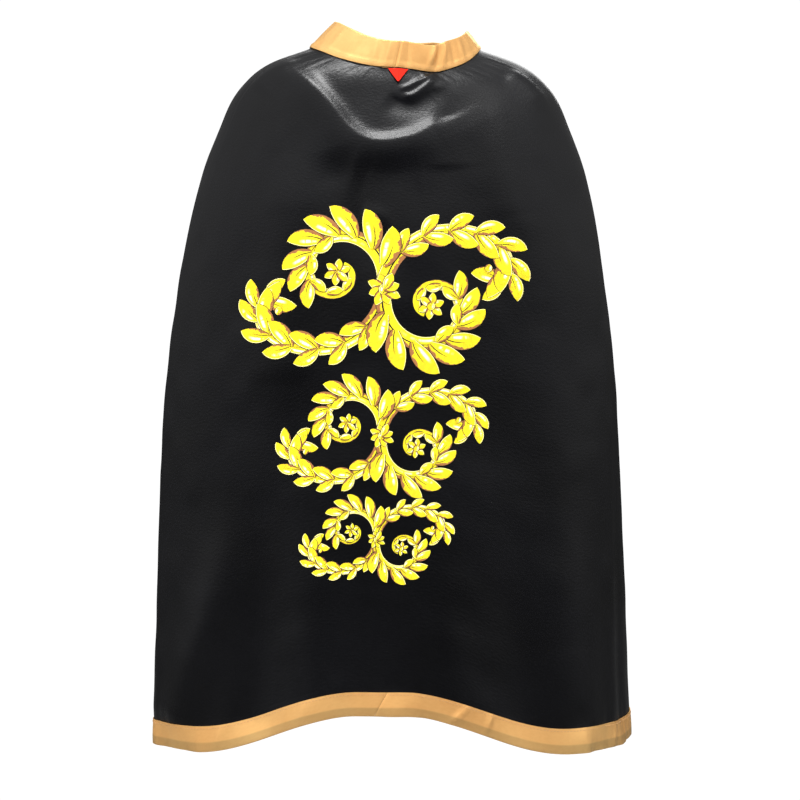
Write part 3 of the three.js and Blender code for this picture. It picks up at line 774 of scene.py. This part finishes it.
hemSection = bandSection(bandShape["height"], bandShape["gap"], bandShape["thick"])
def bandObject(name, startOf, endOf):
    return stripObject(name, bandPlace(startOf, endOf), hemSection, bandShape["cols"], goldHem, bandUv)


def hemStitches(name, fromAngle, toAngle):
    lift = bandShape["gap"] + bandShape["thick"] + 0.1
    line = hemLine(fromAngle, toAngle, bandShape["stitchHeight"], lift)
    return stitchesObject(name, line, *bandShape["stitch"], goldThread)


leftBand = bandObject("leftHemBand", lambda h, s: -frontAngle(edgeLine, s), lambda h, s: joinAngle(h, -0.12))
rightBand = bandObject("rightHemBand", lambda h, s: joinAngle(h, 0.12), lambda h, s: frontAngle(edgeLine, s))
hemEdge = float(frontAngle(edgeLine, 1 - 23 / maxDrop))
leftHemStitches = hemStitches("leftHemStitches", -hemEdge, -0.03)
rightHemStitches = hemStitches("rightHemStitches", -0.028, hemEdge)
print("hem band made")


# the collar

collarBand = {"gap": 0.35, "thick": 0.6, "cols": 150, "overEnd": 30.0, "underEnd": 2.0, "stitchEnd": 33.0,
              "roll": 1.2, "rollHeight": 1.8, "rollWidth": 1.4, "stitchHeight": 3.8,
              "stitch": (3.0, 2.3, 0.4)}


def collarSection():
    # closed outline of the folded collar, open side down; its lower edge is a soft roll
    low, high = collarBand["gap"], collarBand["gap"] + collarBand["thick"]
    top = collarShape["rise"] - 1.2

    def bulge(h):
        roll = math.exp(-((h * collarShape["rise"] - collarBand["rollHeight"]) / collarBand["rollWidth"]) ** 2)
        return high + 0.45 * math.sin(math.pi * h) + collarBand["roll"] * roll

    heights = np.linspace(0, 1, 11)
    outer = [(bulge(h), lerp(0.2, top, h)) for h in heights]
    turn = [(high * math.cos(a), top + 1.3 * math.sin(a)) for a in np.linspace(0, math.pi, 9)[1:-1]]
    inner = [(-high - 0.3 * math.sin(math.pi * h), lerp(-0.6, top, h)) for h in heights[::-1]]
    back = [(-low, h) for h in (-0.6, 12.0, top - 1)]
    front = [(low, h) for h in (top - 1, 12.0, 0.2)]
    return (outer + turn + inner + back + front)[::-1]


def collarPlace(start, end):
    def place(u, height, lift):
        ends = np.minimum(u, 1 - u) * 240
        soft = 1 - 0.75 * np.exp(-(ends**2))
        return onCollar(lerp(start, end, u), height, lift * soft)
    return place


def collarUv(u, height, lift):
    return np.stack([u * 0.22, height / 1000 + (lift < 0) * 0.1], -1)


def frontOf(x):
    # where the neckline's front is this far from the middle
    return math.pi - math.asin(x / capeShape["neckSide"])


overAngle = 2 * math.pi - frontOf(collarBand["overEnd"])
underAngle = frontOf(collarBand["underEnd"])

def collarObject(name, start, end):
    return stripObject(name, collarPlace(start, end), collarSection(), collarBand["cols"], goldSatin, collarUv)


leftCollar = collarObject("leftCollar", -overAngle, -0.0012)
rightCollar = collarObject("rightCollar", 0.0012, underAngle)


def collarStitches(name, fromAngle, toAngle, count):
    angle = np.linspace(fromAngle, toAngle, count)
    lift = collarBand["gap"] + collarBand["thick"] + 0.35
    low = onCollar(angle, collarBand["stitchHeight"], lift)
    out = onCollar(angle, collarBand["stitchHeight"], lift + 1) - low
    return stitchesObject(name, (low, out), *collarBand["stitch"], goldThread)


leftCollarStitches = collarStitches("leftCollarStitches", -overAngle + 0.03, -0.01, 500)
rightCollarStitches = collarStitches("rightCollarStitches", 0.01, frontOf(collarBand["stitchEnd"]), 400)
print("collar made")


# the printed scrolls

scrollShape = {
    "start": -20.0, "radius": 48.0, "inner": 9.5, "turns": 430.0, "flower": 13.0,
    "stem": [(6, 8), (-10, -29), (-42, -54), (-84, -57), (-116, -40), (-122, -15), (-107, -8), (-101, -21)],
    "places": {"largeScroll": (-10.0, -240.0, 0.975), "mediumScroll": (-12.0, -377.5, 0.71),
               "smallScroll": (-17.0, -474.0, 0.515)},
    "film": 0.06, "lift": 0.10, "layer": 0.022,
}


def heading(degrees):
    return np.array([math.cos(math.radians(degrees)), math.sin(math.radians(degrees))])


def leafBlade(root, direction, length, width, bend, count=13):
    t = np.linspace(0, 1, count)[:, None]
    middle = root + heading(direction) * length * 0.5
    tip = middle + heading(direction + bend) * length * 0.55
    line = root * (1 - t) ** 2 + 2 * middle * t * (1 - t) + tip * t * t
    t = t[:, 0]
    return line, np.maximum(width / 2 * (0.35 + 2.6 * t) * (1 - t) ** 0.8, 0.12)


def bladeAt(line, share, turn, length, width, bend):
    i = int(np.clip(round(share * (len(line) - 1)), 1, len(line) - 2))
    ahead = line[i + 1] - line[i - 1]
    return leafBlade(line[i], math.degrees(math.atan2(ahead[1], ahead[0])) + turn, length, width, bend)


def roundBlade(centre, radius):
    t = np.linspace(-1, 1, 13)
    return centre + np.outer(t * radius, heading(70)), np.maximum(radius * np.sqrt(1 - t * t), 0.12)


def halfScroll():
    eye = -heading(scrollShape["start"]) * scrollShape["radius"]
    t = np.linspace(0, 1, 120)
    radius = lerp(scrollShape["radius"], scrollShape["inner"], t**0.85)[:, None]
    turn = np.radians(scrollShape["start"] + t * scrollShape["turns"])
    spiral = eye + radius * np.stack([np.cos(turn), np.sin(turn)], -1)
    stem = softLine(scrollShape["stem"], 90)
    s = np.linspace(0, 1, 90)
    under = [(stem, 7.2 * (1 - s) ** 0.45 * (0.55 + 0.45 * np.cos(2 * s)) + 1)]
    under.append((spiral, lerp(8.2, 3.2, t)))
    over = []
    for i in range(8):
        share = 0.8 - 0.088 * i
        grown = math.sin(math.pi * (0.18 + 0.72 * (1 - share)))
        over.append(bladeAt(stem, share, -50, 15 + 19 * grown, 9 + 9 * grown, 38))
        over.append(bladeAt(stem, share, 46, 13 + 16 * grown, 8 + 8 * grown, -36))
    over.append(roundBlade(stem[-1], 4.0))
    for i in range(8):
        over.append(bladeAt(spiral, 0.5 - 0.062 * i, -52, 28 + 2.5 * i if i < 6 else 40, 16 + 0.9 * i, 40))
    for i in range(5):
        over.append(bladeAt(spiral, 0.72 - 0.11 * i, 42, 14 + 2.1 * i, 9 + 1.2 * i, -34))
    for i in range(6):
        over.append(leafBlade(eye, 60 * i + 15, scrollShape["flower"], 9, 14))
    over.append(roundBlade(eye, 4.2))
    return under, over


def whereOnCape(x, z):
    # the angle and share of the cloth that lie straight behind a place on the drawing
    angle, share = np.zeros(x.shape), np.full(x.shape, 0.4)
    for _ in range(14):
        reach = acrossAt(angle, share * maxDrop)
        angle = np.arcsin(np.clip(x / reach, -0.98, 0.98))
        top, bottom = neckZ(angle), hemZ(angle, x)
        share = (top - z) / (top - bottom)
    return angle, share


def scrollObject(name, centreX, centreZ, scale):
    under, over = halfScroll()
    blades = [(line * sign, half) for part in (under, over) for sign in (1, -1) for line, half in part]
    # the flower where the two halves meet lies on top of everything
    blades += [leafBlade(np.zeros(2), 45 * i + 12, 17 if i % 2 else 15, 11, 12) for i in range(8)]
    blades.append(roundBlade(np.zeros(2), 5.5))
    points, faces, uvs, edges = [], [], [], []
    done = 0
    for number, (line, half) in enumerate(blades):
        ahead = np.gradient(line, axis=0)
        ahead /= np.linalg.norm(ahead, axis=1)[:, None]
        side = np.stack([-ahead[:, 1], ahead[:, 0]], -1)
        s = np.array([-1, -0.82, -0.5, 0, 0.5, 0.82, 1])
        flat = line[None] + side[None] * (s[:, None] * half[None])[..., None]
        rows, cols = flat.shape[:2]
        angle, share = whereOnCape(centreX + scale * flat[..., 0], centreZ + scale * flat[..., 1])
        lift = scrollShape["lift"] + scrollShape["layer"] * (number % 40 + (0 if number < 4 else 4))
        run = np.concatenate([[0], np.cumsum(np.linalg.norm(np.diff(line, axis=0), axis=1))]) * scale
        t = np.clip(np.linspace(0, 1, cols), 0.001, 0.999)
        uv = np.stack(np.broadcast_arrays(number + t[None, :], (s[:, None] + 1) / 2), -1)
        fromEdge = (1 - np.abs(s))[:, None] * half[None] * scale
        edge = np.stack(np.broadcast_arrays(fromEdge, run[None, :]), -1)
        for down in (0.0, scrollShape["film"]):
            points.append(onCape(angle, share, lift - down).reshape(-1, 3))
            uvs.append(uv.reshape(-1, 2))
            edges.append(edge.reshape(-1, 2))
        # the rim is wound the other way from the film's two faces
        outer, inner, rim = sheetFaces(rows, cols, done)
        faces += [outer, inner, rim[:, ::-1]]
        done += 2 * rows * cols
    obj = meshObject(name, np.concatenate(points), np.concatenate(faces), np.concatenate(uvs), None, [printFilm])
    addUv(obj.data, "edgeMap", np.concatenate(edges))
    obj.data.uv_layers["UVMap"].active_render = True
    return obj


scrolls = {name: scrollObject(name, *place) for name, place in scrollShape["places"].items()}
print("scrolls printed")


# the tag, the care label and the fastener

tagShape = {"x": 3.0, "width": 19.0, "tip": 1.6, "height": 13.0, "drop": 1.6, "thick": 0.5, "lift": 1.55}
careShape = {"x": -4.0, "width": 42.0, "height": 29.0, "drop": 3.0, "inwards": 2.2, "curl": 2.5}
smallStitch = (2.4, 1.8, 0.3)  # pitch, length and thickness
tapeShape = {"start": 5.0, "end": 27.0, "low": 5.0, "height": 18.0, "thick": 1.1}


backLength = -capeShape["hemBack"] - capeShape["backDip"]


def placeTag(u, v, lift):
    # ribbon folded to a point: the left half crosses over the right
    share = (tagShape["drop"] + tagShape["height"] * v) / backLength
    x = tagShape["x"] + (u - 0.5) * lerp(tagShape["width"], tagShape["tip"], v)
    angle = np.arcsin(x / acrossAt(np.zeros(x.shape), share * maxDrop))
    overlap = 0.22 * smoothStep(0.56 - u, -0.03, 0.03) + 0.5 * v**2
    return onCape(angle, share, tagShape["lift"] + overlap + lift)


def placeCareLabel(u, v, lift):
    x = careShape["x"] + (u - 0.5) * careShape["width"]
    y = careShape["inwards"] - capeShape["neckBack"] * np.sqrt(1 - (x / capeShape["neckSide"]) ** 2)
    y = y + careShape["curl"] * v**2 + 0.4 * np.sin(5 * u + 2 * v) * v
    z = -capeShape["backDip"] - careShape["drop"] - v * careShape["height"]
    return np.stack(np.broadcast_arrays(x, y - lift - 0.1, z), -1)


flatUv = lambda u, v: np.stack([u * 0.02, -v * 0.02], -1)
redTag = sheetObject("redTag", placeTag, 16, 25, tagShape["thick"], [redRibbon, redRibbon], flatUv)
careLabel = sheetObject("blankCareLabel", placeCareLabel, 20, 31, 0.4, [whiteRibbon, whiteRibbon], flatUv)
careLine = np.linspace(0.04, 0.96, 60)
careSeam, careOut = (placeCareLabel(careLine, np.full(60, 0.07), lift) for lift in (-0.45, -1.45))
careStitches = stitchesObject("careLabelStitches", (careSeam, careOut - careSeam), *smallStitch, blackThread)


def placeTape(base):
    def place(u, v, lift):
        x = lerp(tapeShape["end"], tapeShape["start"], u)
        angle = math.pi - np.arcsin(x / capeShape["neckSide"])
        height = tapeShape["low"] + tapeShape["height"] * (1 - v)
        width = tapeShape["end"] - tapeShape["start"]
        edge = np.minimum(np.minimum(u, 1 - u) * width, np.minimum(v, 1 - v) * tapeShape["height"])
        soft = 0.45 * np.exp(-((edge / 0.8) ** 2))
        return onCollar(angle, height, base + np.where(lift < 0, soft * 0.4, tapeShape["thick"] - soft))
    return place


def tapeStitches(name, base, material):
    # a row of stitches just inside the tape's edge, all the way round
    place = placeTape(base)
    corners = [(0.08, 0.1), (0.92, 0.1), (0.92, 0.9), (0.08, 0.9), (0.08, 0.1)]
    u, v = np.concatenate([np.linspace(a, b, 24) for a, b in zip(corners[:-1], corners[1:])]).T
    keep = np.concatenate([[True], np.hypot(np.diff(u), np.diff(v)) > 1e-6])
    line = place(u[keep], v[keep], 0.0)
    out = line - place(u[keep], v[keep], -1.0)
    return stitchesObject(name, (line - 0.15 * out, out), *smallStitch, material)


loopBase, hookBase = 1.95, 3.5
loopTape = sheetObject("loopTape", placeTape(loopBase), 19, 23, 1.0, [pileTape, pileTape], flatUv)
hookTape = sheetObject("hookTape", placeTape(hookBase), 19, 23, 1.0, [pileTape, pileTape], flatUv)
loopStitches = tapeStitches("loopTapeStitches", loopBase, blackThread)
print("labels and fastener made")


# stitching of the turned front edges

edgeStitching = {"inwards": 5.6, "lift": 0.27, "stitch": (3.2, 2.4, 0.36)}


def edgeLineAt(sign):
    share = np.linspace(0.005, 1 - 28 / maxDrop, 420) ** 1.1
    angle = sign * frontAngle([end + edgeStitching["inwards"] for end in edgeLine], share)
    low = onCape(angle, share, edgeStitching["lift"])
    return low, onCape(angle, share, edgeStitching["lift"] + 1) - low


leftEdgeStitches = stitchesObject("leftEdgeStitches", edgeLineAt(-1), *edgeStitching["stitch"], blackThread)
rightEdgeStitches = stitchesObject("rightEdgeStitches", edgeLineAt(1), *edgeStitching["stitch"], blackThread)


# camera, light and floor

stageSettings = {"distance": 2.2, "centreX": 0.0049, "centreZ": -0.344, "across": 0.784, "floorZ": -0.92,
                 "floorRadius": 4, "floorColour": (0.86, 0.86, 0.86), "floorMirrored": (0.12, 0.12, 0.12),
                 "floorFade": (0.25, 1.0), "backdrop": 1.05}
# place, what it is turned to, and size are in metres; power is in watts
stageLights = {
    "overheadSoftbox": {"place": (-0.20, -1.00, 2.85), "aim": (0, 0, -0.2), "size": (1.3, 0.8), "power": 85},
    "highRightSoftbox": {"place": (1.45, -1.45, 2.2), "aim": (0, 0, -0.1), "size": (0.8, 0.6), "power": 4},
    "frontFill": {"place": (-0.7, -2.3, 0.9), "aim": (0, 0, -0.35), "size": (1.2, 1.2), "power": 44,
                  "mirrored": False},
    "backSoftbox": {"place": (0.3, 1.7, 1.1), "aim": (0, 0, -0.35), "size": (1.4, 1.4), "power": 18},
}
# how far from straight ahead the tent turns white, and how bright its dark and its white parts are
tentSettings = {"across": 0.85, "above": 0.61, "below": 0.9, "white": 1.2, "strength": (0.04, 0.8),
                "sideRise": (0.0, 0.4, 0.16, 1.0), "behind": (-0.25, 0.6, 1.0, 0.4)}


def makeCamera():
    camera = addToScene("camera", bpy.data.cameras.new("camera"))
    camera.location = (stageSettings["centreX"], -stageSettings["distance"], stageSettings["centreZ"])
    camera.rotation_euler = (math.radians(90), 0, 0)
    camera.data.sensor_width = 36
    camera.data.lens = 36 * stageSettings["distance"] / stageSettings["across"]
    bpy.context.scene.camera = camera


def makeFloor():
    # pale near the cape and white further off; it mirrors dimly in the satin, as if a dark cloth lay by the hem
    material, tree, shader = startMaterial("paleFloor")
    path = addNode(tree, "LightPath").outputs
    colour = colourMix(tree, path["Is Glossy Ray"], stageSettings["floorColour"], stageSettings["floorMirrored"])
    tree.links.new(colour, shader.inputs["Base Color"])
    setShader(shader, {"Roughness": 0.8})
    centre = (0, 0, stageSettings["floorZ"])
    where = addNode(tree, "TexCoord").outputs["Object"]
    away = addNode(tree, "VectorMath", {0: where, 1: centre}, operation="SUBTRACT")
    far = addNode(tree, "VectorMath", {0: away.outputs[0]}, operation="LENGTH").outputs["Value"]
    seen = mathNode(tree, "MULTIPLY", mapRange(tree, far, *stageSettings["floorFade"]), path["Is Camera Ray"])
    white = addNode(tree, "Emission", {"Color": (1, 1, 1, 1), "Strength": stageSettings["backdrop"]})
    mix = addNode(tree, "MixShader", {0: seen, 1: shader.outputs[0], 2: white.outputs[0]})
    tree.links.new(mix.outputs[0], tree.nodes["Material Output"].inputs["Surface"])
    mesh = bpy.data.meshes.new("floor")
    radius, z = stageSettings["floorRadius"], stageSettings["floorZ"]
    ring = [(radius * math.cos(a), radius * math.sin(a), z) for a in np.linspace(0, 2 * math.pi, 97)[:-1]]
    mesh.from_pydata(ring, [], [list(range(96))])
    mesh.materials.append(material)
    addToScene("floor", mesh)


def makeLights():
    for name, look in stageLights.items():
        data = bpy.data.lights.new(name, "AREA")
        data.shape = "RECTANGLE"
        data.size, data.size_y = look["size"]
        data.energy = look["power"]
        light = addToScene(name, data)
        light.visible_glossy = look.get("mirrored", True)
        light.location = look["place"]
        light.rotation_euler = (Vector(look["aim"]) - Vector(look["place"])).to_track_quat("-Z", "Y").to_euler()


def makeTent():
    # white all round and above, and dark straight ahead of the cape's two faces
    world = bpy.data.worlds.new("studio")
    bpy.context.scene.world = world
    world.use_nodes = True
    tree = world.node_tree
    parts = addNode(tree, "SeparateXYZ", {0: addNode(tree, "TexCoord").outputs["Generated"]}).outputs

    def squared(value, by):
        return mathNode(tree, "POWER", mathNode(tree, "DIVIDE", value, by), 2.0)

    sides = mapRange(tree, parts["Z"], *tentSettings["sideRise"], "LINEAR")  # the sides are brighter towards the top
    across = mathNode(tree, "MULTIPLY", squared(parts["X"], tentSettings["across"]), sides)
    above = squared(mathNode(tree, "MAXIMUM", parts["Z"], 0.0), tentSettings["above"])
    below = squared(mathNode(tree, "MINIMUM", parts["Z"], 0.0), tentSettings["below"])
    reach = mathNode(tree, "SQRT", mathNode(tree, "ADD", mathNode(tree, "ADD", across, above), below))
    tent = mapRange(tree, reach, 0.0, tentSettings["white"], *tentSettings["strength"])
    behind = mapRange(tree, parts["Y"], *tentSettings["behind"], "LINEAR")
    strength = addNode(tree, "Mix", {0: addNode(tree, "LightPath").outputs["Is Camera Ray"],
                                     2: mathNode(tree, "MULTIPLY", tent, behind), 3: stageSettings["backdrop"]})
    background = tree.nodes["Background"]
    tree.links.new(strength.outputs[0], background.inputs["Strength"])
    background.inputs["Color"].default_value = (1, 1, 1, 1)
    bpy.context.scene.view_settings.view_transform = "Standard"


makeCamera()
makeFloor()
makeLights()
makeTent()
print("stage made")

# what moves with what


def bendAtFold(obj):
    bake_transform(obj)


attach(backCloth, "back")
for side, pieces in {"left": (leftCloth, leftBand, leftCollar, leftHemStitches, leftCollarStitches),
                     "right": (rightCloth, rightBand, rightCollar, rightHemStitches, rightCollarStitches)}.items():
    for piece in pieces:
        bendAtFold(piece)
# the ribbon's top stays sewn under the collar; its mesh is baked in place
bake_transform(redTag)
for piece, body in ((careLabel, "care_label"), (careStitches, "care_label"),
                    (loopTape, "right_front"), (loopStitches, "right_front"), (hookTape, "left_front"),
                    (leftEdgeStitches, "left_front"), (rightEdgeStitches, "right_front")):
    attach(piece, body)
for piece in scrolls.values():
    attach(piece, "back")

# each piece, the slot named for its finish (not applied here), and the CAD nodes that it stands for, which are hidden
for piece, slot, *stoodFor in (
        (backCloth, "black_satin", "back_panel"),
        (leftCloth, "black_satin", "left_front_panel"),
        (rightCloth, "black_satin", "right_front_panel"),
        (leftBand, "gold_satin", "hem_band_left_rear", "hem_band_left_front"),
        (rightBand, "gold_satin", "hem_band_right_rear", "hem_band_right_front"),
        (leftCollar, "gold_satin", "collar_band_left_rear", "collar_band_left_front",
         "collar_interfacing_rear", "collar_interfacing_left"),
        (rightCollar, "gold_satin", "collar_band_right_rear", "collar_band_right_front", "collar_interfacing_right"),
        (leftHemStitches, "gold_thread", "hem_topstitch_left", "hem_topstitch_rear"),
        (rightHemStitches, "gold_thread", "hem_topstitch_right"),
        (leftCollarStitches, "gold_thread", "collar_topstitch_left", "collar_topstitch_rear"),
        (rightCollarStitches, "gold_thread", "collar_topstitch_right"),
        (scrolls["largeScroll"], "print_film", "print_large"),
        (scrolls["mediumScroll"], "print_film", "print_medium"),
        (scrolls["smallScroll"], "print_film", "print_small"),
        (redTag, "tag_ribbon", "neck_tag"),
        (careLabel, "label_ribbon", "care_label"),
        (careStitches, "black_thread"),
        (loopTape, "fastener_tape", "loop_tape"),
        (hookTape, "fastener_tape", "hook_tape"),
        (loopStitches, "black_thread"),
        (leftEdgeStitches, "black_thread", "front_edge_topstitch_left"),
        (rightEdgeStitches, "black_thread", "front_edge_topstitch_right")):
    if stoodFor:
        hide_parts(*stoodFor)
